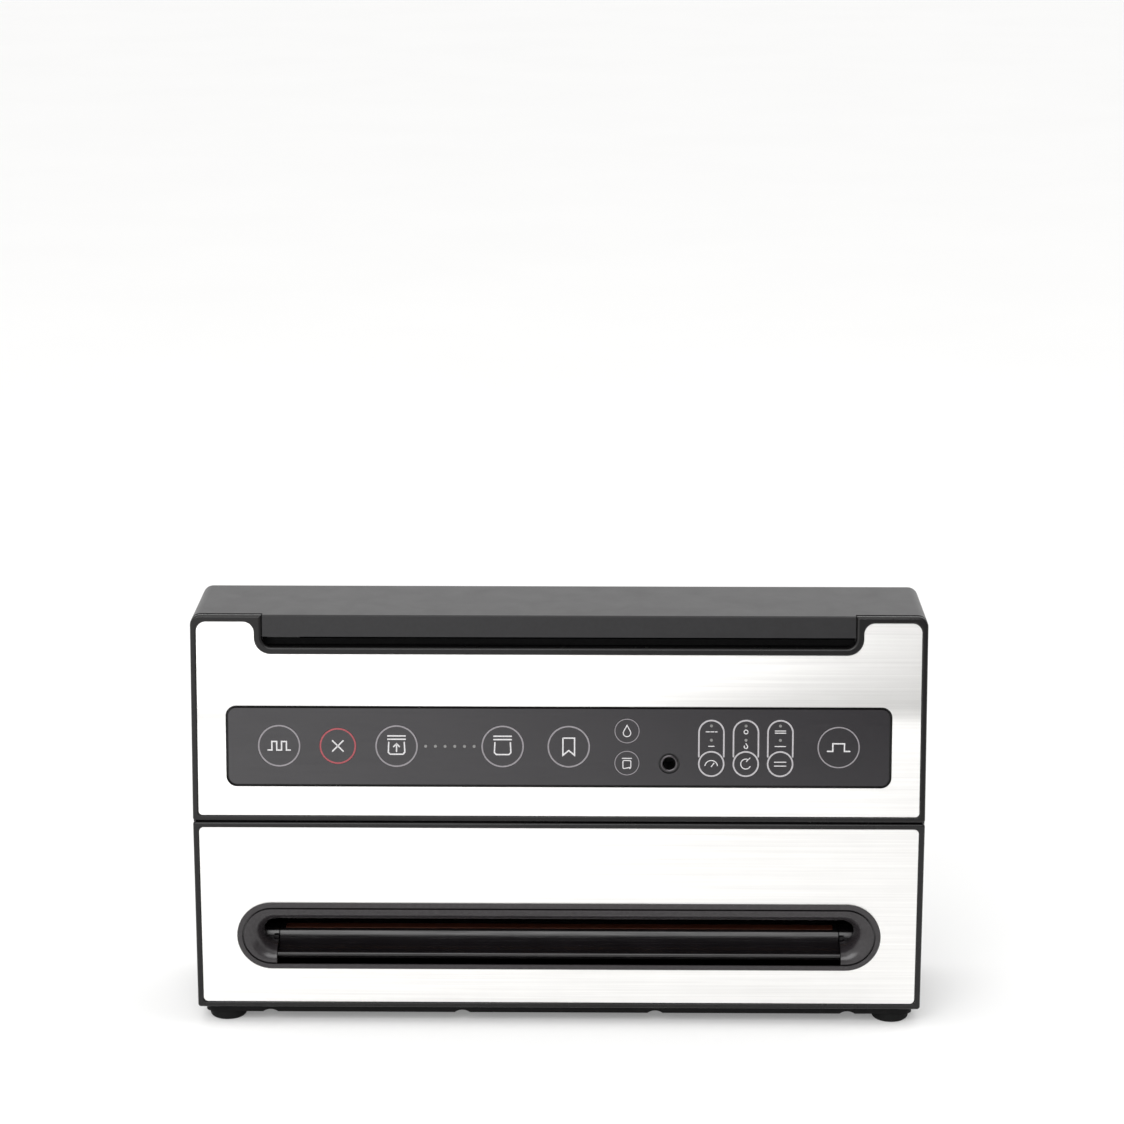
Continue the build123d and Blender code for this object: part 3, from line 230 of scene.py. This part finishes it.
def woven_tape(name):
    """Coated glass cloth, brown and slightly glossy, with its weave showing."""
    look = Surface(name, 0.4)
    across = look.add("ShaderNodeTexWave", wave_type="BANDS", bands_direction="X")
    along = look.add("ShaderNodeTexWave", wave_type="BANDS", bands_direction="Y")
    for wave in (across, along):
        wave.inputs["Scale"].default_value = 1.0
        wave.inputs["Distortion"].default_value = 0.6
        look.link(look.coords((350.0, 350.0, 350.0)), wave.inputs["Vector"])
    weave = look.sum(across.outputs["Fac"], along.outputs["Fac"])
    look.mottle(weave, 0.4, 1.6, (0.16, 0.075, 0.03), (0.42, 0.23, 0.10))
    look.bump(weave, 0.06 * MM, 0.7)
    return look.material


def circuit_board(name):
    """Green solder mask with darker copper tracks under it."""
    look = Surface(name, 0.35)
    tracks = look.cells(260.0)
    look.mottle(tracks, 0.15, 0.35, (0.008, 0.075, 0.03), (0.02, 0.15, 0.06))
    look.rough(look.remap(look.noise(500.0), 0.3, 0.7, 0.28, 0.5))
    look.bump(look.remap(tracks, 0.2, 0.3), 0.05 * MM, 0.5)
    return look.material


def laminations(name):
    """Stacked transformer sheets seen on edge, varnished."""
    look = Surface(name, 0.45, metallic=0.6)
    sheets = look.noise((8.0, 2600.0, 8.0), detail=1.0)
    look.mottle(sheets, 0.35, 0.65, (0.035, 0.032, 0.03), (0.16, 0.15, 0.14))
    look.bump(sheets, 0.1 * MM, 0.6)
    return look.material


def ink(name, colour, roughness=0.5):
    """Screen-printed ink, a little uneven in cover."""
    look = Surface(name, roughness)
    cover = look.noise(1500.0, detail=3.0)
    faded = tuple(c * FADED_INK for c in colour)
    look.mottle(cover, 0.3, 0.6, faded, colour)
    look.bump(cover, 0.01 * MM, 0.4)
    return look.material


def panel_film(name):
    """Dark satin polyester film with an extremely fine texture."""
    look = Surface(name, 0.2, specular=0.68)
    clouds = look.noise((9.0, 20.0, 30.0), detail=4.0)
    look.mottle(clouds, 0.3, 0.7, (0.0085, 0.0070, 0.0095), (0.0125, 0.0105, 0.0135))
    wiping = look.noise((40.0, 500.0, 500.0), detail=4.0)
    look.rough(look.remap(wiping, 0.3, 0.75, 0.15, 0.22))
    look.bump(look.noise(3200.0, detail=2.0), 0.006 * MM, 0.4)
    return look.material


def build_materials():
    """Every CAD node's material, by node."""
    film = panel_film("panel_film")
    shell = moulded_plastic("shell_black", (0.010, 0.010, 0.0105), (0.016, 0.016, 0.0165), 0.46,
                            specular=0.4)
    inner = moulded_plastic("inner_black", (0.003, 0.003, 0.0032), (0.005, 0.005, 0.0052), 0.6,
                            specular=0.12)
    natural = moulded_plastic("natural_acetal", (0.62, 0.60, 0.54), (0.74, 0.72, 0.66), 0.42)
    satin = moulded_plastic("frame_satin", (0.0040, 0.0036, 0.0038), (0.0065, 0.006, 0.0062), 0.26,
                            depth=FINE_TEXTURE, specular=0.33)
    steel = plain_steel("ground_steel")
    board = circuit_board("solder_mask")
    silicone = rubber("silicone_hose", (0.42, 0.43, 0.43), (0.58, 0.59, 0.59), 0.45)
    brushed = brushed_steel("brushed_sheet")
    tray = polished_plastic("tray_gloss", (0.007, 0.006, 0.0068), (0.011, 0.0095, 0.0108), 0.2)
    table = {
        "upper_housing": shell, "lower_housing": shell,
        # the base plate's colour is darker than the shell's: painted shade of its recess under the lower frame
        "base_plate": moulded_plastic("base_painted_shade", (0.003, 0.0028, 0.003), (0.005, 0.0046, 0.0048), 0.6,
                                      depth=FINE_TEXTURE, specular=0.12),
        "rubber_feet": rubber("foot_rubber", (0.003, 0.003, 0.003), (0.006, 0.006, 0.006)),
        "case_screws": steel, "lid_hinge_pins": steel, "lift_shaft": steel, "cutter_blade": steel,
        "valve_plunger": steel, "heating_wires": plain_steel("nichrome", (0.42, 0.39, 0.35), 0.4),
        "pump_motor": plain_steel("zinc_can", (0.66, 0.66, 0.64), 0.35),
        "lift_motor": plain_steel("zinc_gearbox", (0.6, 0.6, 0.58), 0.38),
        "heating_bar": plain_steel("extruded_aluminium", (0.78, 0.78, 0.79), 0.33),
        "motor_pinion": plain_steel("cut_brass", (0.72, 0.55, 0.24), 0.28),
        "upper_front_frame": satin, "lower_front_frame": satin,
        "upper_front_plate": brushed, "lower_front_plate": brushed,
        "control_overlay": film,
        "indicator_lenses": polished_plastic("lens_frost", (0.17, 0.17, 0.165), (0.24, 0.24, 0.235), 0.35),
        "hose_port": port_gloss("port_gloss"),
        "slot_bezel": moulded_plastic("bezel_satin", (0.019, 0.0165, 0.0180), (0.026, 0.0230, 0.0250),
                                      0.24, depth=FINE_TEXTURE),
        "drip_tray": tray, "tray_cradle": tray,
        "roll_lid": moulded_plastic("lid_grain", (0.006, 0.0056, 0.0066), (0.009, 0.0085, 0.0098), 0.38,
                                    grain=1300.0, specular=0.46),
        "roll_trough": inner, "roll_deck": inner, "cutter_bar": inner, "upper_jaw": inner,
        "suction_manifold": inner, "pump_head": inner, "power_inlet": inner, "key_switches": inner,
        "release_valve": inner,
        "cutter_carriage": polished_plastic("carriage_gloss", (0.008, 0.008, 0.009),
                                            (0.014, 0.014, 0.015), 0.25),
        "seal_pad": rubber("pad_silicone", (0.075, 0.022, 0.012), (0.105, 0.034, 0.020), 0.4),
        "jaw_gasket": rubber("gasket_foam", (0.018, 0.018, 0.018), (0.04, 0.04, 0.04), 0.85),
        "ptfe_tape": woven_tape("coated_cloth"),
        "jaw_guides": natural, "jaw_racks": natural, "shaft_gears": natural, "pump_rotor": natural,
        "suction_hose": silicone, "port_hose": silicone,
        "control_board": board, "main_board": board,
        "board_components": moulded_plastic("component_body", (0.02, 0.02, 0.022),
                                            (0.05, 0.05, 0.055), 0.4),
        "transformer_core": laminations("core_laminations"),
        "transformer_coil": moulded_plastic("coil_tape", (0.5, 0.36, 0.05), (0.62, 0.46, 0.09), 0.35),
    }
    for name in KEY_NODES:
        table[name] = film
    return table


def dress(table):
    """Gives every CAD node its material."""
    for name, material in table.items():
        slots = NODES[name].material_slots
        if not slots:
            NODES[name].data.materials.append(material)
        for slot in slots:
            slot.material = material


# ---- the key panel's plane ------------------------------------------------
key_joint = next(j for j in frame["joints"] if j["child"] == KEY_NODES[0])
OUTWARD = -Vector(key_joint["axis"]).normalized()
RIGHT = Vector((1, 0, 0))
UPWARD = OUTWARD.cross(RIGHT)
SINK = 0.25 * MM                 # how far the film lies below the steel
INK_DEPTH = 0.03 * MM            # how thick the ink stands on the film
CAP = (0.25 * MM, 2.4 * MM)      # depths of a key cap's face and underside
port = next(m for m in frame["record"]["mounts"] if m["name"] == "accessory_port")
PORT_DEPTH = 4.0 * MM            # from the mount out to the steel's plane
PORT_RIM = 4.9 * MM              # how far the nickel reaches from the port's middle
PORT_SPOT = Vector(port["pos_m"]) + OUTWARD * PORT_DEPTH


def slope_point(x, z_middle):
    """The point of the steel's plane at x, in the level of a cap's middle height."""
    rise = (z_middle - PORT_SPOT.z + (CAP[0] + CAP[1]) / 2 * OUTWARD.z) / UPWARD.z
    return Vector((x, 0, 0)) + Vector((0, PORT_SPOT.y, PORT_SPOT.z)) + UPWARD * rise


def key_place(node):
    """(centre on the steel's plane, radius) of a key's round cap."""
    low, high = (Vector(corner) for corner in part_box(node))
    return slope_point((low.x + high.x) / 2, (low.z + high.z) / 2), (high.x - low.x) / 2


# ---- printed marks ----------------------------------------------------------
SHARPEST_MITRE = 0.4             # cosine of half a line's turn, below which its corner gets no longer


def arc(x, y, radius, start, end, steps=24):
    """Points of an arc, in millimetres; angles in degrees."""
    angles = [math.radians(start + (end - start) * i / steps) for i in range(steps + 1)]
    return [(x + radius * math.cos(a), y + radius * math.sin(a)) for a in angles]


def ribbon(bm, points, width, closed=False):
    """A flat printed line of even width, with round ends unless it is closed."""
    count = len(points)
    path = [Vector(p) for p in points]
    sides = []
    for i, here in enumerate(path):
        before = path[i - 1] if (closed or i) else here
        after = path[(i + 1) % count] if (closed or i < count - 1) else here
        ahead = (after - here).normalized() if after != here else (here - before).normalized()
        behind = (here - before).normalized() if before != here else ahead
        middle = (ahead + behind).normalized()
        across = Vector((-middle.y, middle.x))
        reach = width / 2 / max(SHARPEST_MITRE, middle.dot(ahead))
        sides.append((here + across * reach, here - across * reach))
    rims = [(bm.verts.new((*a, 0)), bm.verts.new((*b, 0))) for a, b in sides]
    last = count if closed else count - 1
    for i in range(last):
        here, there = rims[i], rims[(i + 1) % count]
        bm.faces.new((here[0], here[1], there[1], there[0]))
    if closed:
        return
    for end, towards in ((0, 1), (-1, -2)):
        direction = math.degrees(math.atan2(*reversed(path[end] - path[towards])))
        cap = arc(*path[end], width / 2, direction - 90, direction + 90, 8)
        bm.faces.new([bm.verts.new((x, y, 0)) for x, y in cap])


def box_line(left, low, right, high, corner=0.8):
    """A rounded rectangle's outline."""
    points = []
    for x, y, start in ((right, low, -90), (right, high, 0), (left, high, 90), (left, low, 180)):
        inward_x = -corner if x == right else corner
        inward_y = -corner if y == high else corner
        points += arc(x + inward_x, y + inward_y, corner, start, start + 90, 5)
    return points


BAG = [(-3.2, 1.6), (-3.4, -2.6), (-2.6, -3.4), (2.6, -3.4), (3.4, -2.6), (3.2, 1.6)]
BAG_TOP = [[(-3.6, 2.9), (3.6, 2.9)], [(-3.6, 4.3), (3.6, 4.3)]]
ICONS = {                # strokes of each key's icon, in millimetres from the key's middle
    "key_pulse_vacuum": [[(-4.6, -1.8), (-3.0, -1.8), (-3.0, 1.8), (-1.0, 1.8), (-1.0, -1.8),
                          (1.0, -1.8), (1.0, 1.8), (3.0, 1.8), (3.0, -1.8), (4.6, -1.8)]],
    "key_cancel": [[(-2.2, -2.2), (2.2, 2.2)], [(-2.2, 2.2), (2.2, -2.2)]],
    "key_vacuum_and_seal": [BAG, *BAG_TOP, [(0, -2.2), (0, 0.9)], [(-1.2, -0.2), (0, 1.0), (1.2, -0.2)]],
    "key_manual_seal": [BAG, *BAG_TOP],
    "key_memory": [[(-2.4, 3.6), (2.4, 3.6), (2.4, -3.6), (0, -1.6), (-2.4, -3.6), (-2.4, 3.6)]],
    "key_marinate": [arc(0, -0.9, 1.7, 150, 390, 16) + [(0, 2.6), arc(0, -0.9, 1.7, 150, 151, 1)[0]]],
    "key_canister": [box_line(-1.8, -2.5, 1.8, 1.2, 0.6) + [(1.8, -1.9)], [(-2.1, 2.2), (2.1, 2.2)]],
    "key_speed_option": [arc(0, -1.3, 2.9, 10, 170, 16), [(0, -1.3), (1.3, 0.4)]],
    "key_food_option": [arc(0, 0, 2.3, 60, 330, 18), [(0.3, 1.2), (1.9, 2.8)]],
    "key_seam_option": [[(-2.6, 0.9), (2.6, 0.9)], [(-2.6, -0.9), (2.6, -0.9)]],
    "key_pulse_slow": [[(-4.6, -1.6), (-2.4, -1.6), (-2.4, 1.6), (2.4, 1.6), (2.4, -1.6),
                        (4.6, -1.6)]],
}
LEVEL_MARKS = {          # strokes above the two lamps of each option: upper mark, lower mark
    "key_speed_option": ([[(-2.4, 0), (-0.9, 0)], [(-0.3, 0), (1.0, 0)], [(1.6, 0), (2.6, 0)]],
                         [[(-1.2, 0), (1.2, 0)]]),
    "key_food_option": ([arc(0, 0, 0.9, 0, 330, 11)], [arc(0, -0.2, 0.8, 150, 390, 10) + [(0, 1.3)]]),
    "key_seam_option": ([[(-2.4, 0.5), (2.4, 0.5)], [(-2.4, -0.5), (2.4, -0.5)]],
                        [[(-2.4, 0), (2.4, 0)]]),
}
UPPER_MARK, LOWER_MARK = 17.8, 9.8     # heights of those marks above the key's middle
OUTLINE_TOP = 24.5                     # the option outline's top above the key's middle
OUTLINE_GAP = 0.15                     # from the key's cap to the outline, and more where it starts
OUTLINE_START = 0.35
RING = 0.85                            # widths of the printed lines, in millimetres
RING_WIDTH = {"key_marinate": 0.45, "key_canister": 0.45, "key_pulse_slow": 0.7}
RING_STEPS = 144
LINE = 0.75
THIN_LINE = 0.5
LARGE_KEY = 8.0                        # a key of a larger radius has the larger icon and line
LARGE_ICON = 1.32                      # scale of the icons on large and small keys
SMALL_ICON = 1.2


def print_piece(name, bm, spot_on_plane, material, body):
    """Turns flat artwork in millimetres into a thin raised print on the film."""
    faces = list(bm.faces)
    raised = bmesh.ops.extrude_face_region(bm, geom=faces)
    tops = [v for v in raised["geom"] if isinstance(v, bmesh.types.BMVert)]
    bmesh.ops.translate(bm, vec=(0, 0, INK_DEPTH / MM), verts=tops)
    bmesh.ops.recalc_face_normals(bm, faces=bm.faces)
    place = Matrix((RIGHT, UPWARD, OUTWARD)).transposed().to_4x4()
    place.translation = spot_on_plane - OUTWARD * SINK
    bm.transform(place @ Matrix.Scale(MM, 4))
    mesh = bpy.data.meshes.new(name)
    bm.to_mesh(mesh)
    bm.free()
    mesh.materials.append(material)
    piece = bpy.data.objects.new(name, mesh)
    bpy.context.scene.collection.objects.link(piece)
    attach(piece, body)


def body_of_node(node):
    """The CAD body that a node belongs to."""
    return next(body for body, nodes in frame["record"]["behaviour"]["bodies"].items() if node in nodes)


def print_keys(inks):
    """A ring and an icon on each key's cap, which move with the key."""
    for node in KEY_NODES:
        centre, radius = key_place(node)
        body = body_of_node(node)
        width = RING_WIDTH.get(node, RING)
        tone = "red" if node == "key_cancel" else "bright" if "option" in node else "grey"
        ring = bmesh.new()
        last = 360 - 360 / RING_STEPS
        ribbon(ring, arc(0, 0, radius / MM - width / 2, 0, last, RING_STEPS - 1), width, closed=True)
        print_piece(f"{node}_ring", ring, centre, inks[tone], body)
        icon = bmesh.new()
        large = radius > LARGE_KEY * MM
        size = LARGE_ICON if large else SMALL_ICON
        for stroke in ICONS[node]:
            ribbon(icon, [(x * size, y * size) for x, y in stroke], LINE if large else THIN_LINE)
        print_piece(f"{node}_icon", icon, centre, inks["white"], body)


def print_option_outlines(inks):
    """The long outline above each option key, and the marks of its two lamps."""
    for node, (upper, lower) in LEVEL_MARKS.items():
        centre, radius = key_place(node)
        reach = radius / MM - RING / 2
        clear = radius / MM + OUTLINE_GAP
        start = math.sqrt(clear ** 2 - (reach - RING / 2) ** 2) + OUTLINE_START
        crown = arc(0, OUTLINE_TOP - reach - RING / 2, reach, 0, 180, 30)
        outline = bmesh.new()
        ribbon(outline, [(reach, start), *crown, (-reach, start)], RING)
        print_piece(f"{node}_outline", outline, centre, inks["bright"], "chassis")
        marks = bmesh.new()
        for strokes, height in ((upper, UPPER_MARK), (lower, LOWER_MARK)):
            for stroke in strokes:
                ribbon(marks, [(x * SMALL_ICON, y * SMALL_ICON + height) for x, y in stroke], THIN_LINE)
        print_piece(f"{node}_marks", marks, centre, inks["white"], "chassis")


# ---- studio -----------------------------------------------------------------
FLOOR_SIDE = 12.0
# painted light: the whole floor glows, which lifts the shadow under the object
FLOOR_GLOW = 0.22
FRONT_FLOOR_GLOW_AND_SHADE = (0.70, -0.60)      # painted glow of the floor well ahead of the object at its left, and painted shade (a glow below zero) at its right, which the steel sheets reflect
FLOOR_CHANGE_Y = (-1.0, -0.45)   # where that glow gives way to the even one
FLOOR_CHANGE_X = (-0.35, 0.40)   # where it goes from left to right
WALLS = 1.12                     # strength of the white walls behind, beside and above
FRONT_WALL = (1.25, 0.35)        # and ahead of the object, at its left and its right
WALL_CHANGE_Y = (-0.5, -0.1)     # directions between which the one gives way to the other
WALL_CHANGE_X = (-0.22, 0.22)
LIGHTS = {                       # place, target, size, watts
    "top_box": ((0.0, -0.2, 2.2), (0, 0, 0), (2.4, 2.0), 5.0),
    "front_box": ((-0.25, -1.5, 1.25), (0, 0, 0.08), (1.5, 0.95), 17.0),
}


def add_floor():
    """A pale floor that glows a little as painted light, more on the left of its far front; at the far front right
    it is darkened by painted shade.
    """
    bm = bmesh.new()
    bmesh.ops.create_grid(bm, x_segments=8, y_segments=8, size=FLOOR_SIDE)
    mesh = bpy.data.meshes.new("floor")
    bm.to_mesh(mesh)
    bm.free()
    floor = bpy.data.objects.new("floor", mesh)
    bpy.context.scene.collection.objects.link(floor)
    look = Surface("studio_floor", 0.9, specular=0.1)
    look.colour(look.blend(look.noise(3.0), (0.70, 0.70, 0.697), (0.73, 0.73, 0.727)))
    split = look.add("ShaderNodeSeparateXYZ")
    look.link(look.coords(UNIT), split.inputs["Vector"])
    ahead = look.remap(split.outputs["Y"], *FLOOR_CHANGE_Y, 1.0, 0.0)
    sideways = look.remap(split.outputs["X"], *FLOOR_CHANGE_X, *FRONT_FLOOR_GLOW_AND_SHADE)
    glow = look.add("ShaderNodeMix")
    look.link(ahead, glow.inputs["Factor"])
    glow.inputs["A"].default_value = FLOOR_GLOW
    look.link(sideways, glow.inputs["B"])
    look.shader.inputs["Emission Color"].default_value = (1.0, 1.0, 1.0, 1.0)
    look.link(glow.outputs["Result"], look.shader.inputs["Emission Strength"])
    mesh.materials.append(look.material)


def add_area(name, place, target, size, power):
    """A rectangular area light at place that faces target."""
    data = bpy.data.lights.new(name, "AREA")
    data.shape = "RECTANGLE"
    data.size, data.size_y = size
    data.energy = power
    lamp = bpy.data.objects.new(name, data)
    lamp.location = place
    lamp.rotation_euler = (Vector(target) - Vector(place)).to_track_quat("-Z", "Y").to_euler()
    bpy.context.scene.collection.objects.link(lamp)


def add_surroundings():
    """White studio walls, a little brighter at the front left and duller at the front right."""
    world = bpy.data.worlds.new("studio")
    bpy.context.scene.world = world
    world.use_nodes = True
    tree = world.node_tree
    place = tree.nodes.new("ShaderNodeTexCoord")
    split = tree.nodes.new("ShaderNodeSeparateXYZ")
    tree.links.new(place.outputs["Generated"], split.inputs["Vector"])

    def ramp(value, low, high, to_low, to_high):
        node = tree.nodes.new("ShaderNodeMapRange")
        node.interpolation_type = "SMOOTHSTEP"
        for key, number in (("From Min", low), ("From Max", high), ("To Min", to_low), ("To Max", to_high)):
            node.inputs[key].default_value = number
        tree.links.new(value, node.inputs["Value"])
        return node.outputs["Result"]

    sideways = ramp(split.outputs["X"], *WALL_CHANGE_X, *FRONT_WALL)
    front = ramp(split.outputs["Y"], *WALL_CHANGE_Y, 1.0, 0.0)
    mix = tree.nodes.new("ShaderNodeMix")
    tree.links.new(front, mix.inputs["Factor"])
    mix.inputs["A"].default_value = WALLS
    tree.links.new(sideways, mix.inputs["B"])
    tree.links.new(mix.outputs["Result"], tree.nodes["Background"].inputs["Strength"])
    tree.nodes["Background"].inputs["Color"].default_value = (1.0, 0.998, 0.994, 1.0)


CAMERA_X = 0.0207
CAMERA_AHEAD = 1.684             # ahead of the lower sheet's face
CAMERA_RISE = 0.6805             # above the lower frame's sill
CAMERA_DOWN = 14.18              # degrees that it looks down, and towards the left
CAMERA_LEFT = 0.64
CAMERA_SENSOR, CAMERA_LENS = 36.0, 103.96


def add_camera():
    """The camera, placed from the lower sheet's face and the lower frame's sill."""
    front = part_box("lower_front_plate")[0][1]
    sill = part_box("lower_front_frame")[0][2]
    data = bpy.data.cameras.new("camera")
    data.sensor_width = CAMERA_SENSOR
    data.lens = CAMERA_LENS
    data.clip_end = 50.0
    camera = bpy.data.objects.new("camera", data)
    camera.location = (CAMERA_X, front - CAMERA_AHEAD, sill + CAMERA_RISE)
    camera.rotation_euler = (math.radians(90 - CAMERA_DOWN), 0, math.radians(CAMERA_LEFT))
    bpy.context.scene.collection.objects.link(camera)
    bpy.context.scene.camera = camera


dress(build_materials())
INKS = {
    "grey": ink("ink_grey", (0.24, 0.225, 0.24)),
    "bright": ink("ink_bright", (0.42, 0.405, 0.42)),
    "white": ink("ink_white", (0.62, 0.61, 0.62)),
    "red": ink("ink_red", (0.34, 0.062, 0.075)),
}
print_keys(INKS)
print_option_outlines(INKS)
add_floor()
add_surroundings()
for light, settings in LIGHTS.items():
    add_area(light, *settings)
add_camera()
bpy.context.scene.view_settings.view_transform = "Standard"
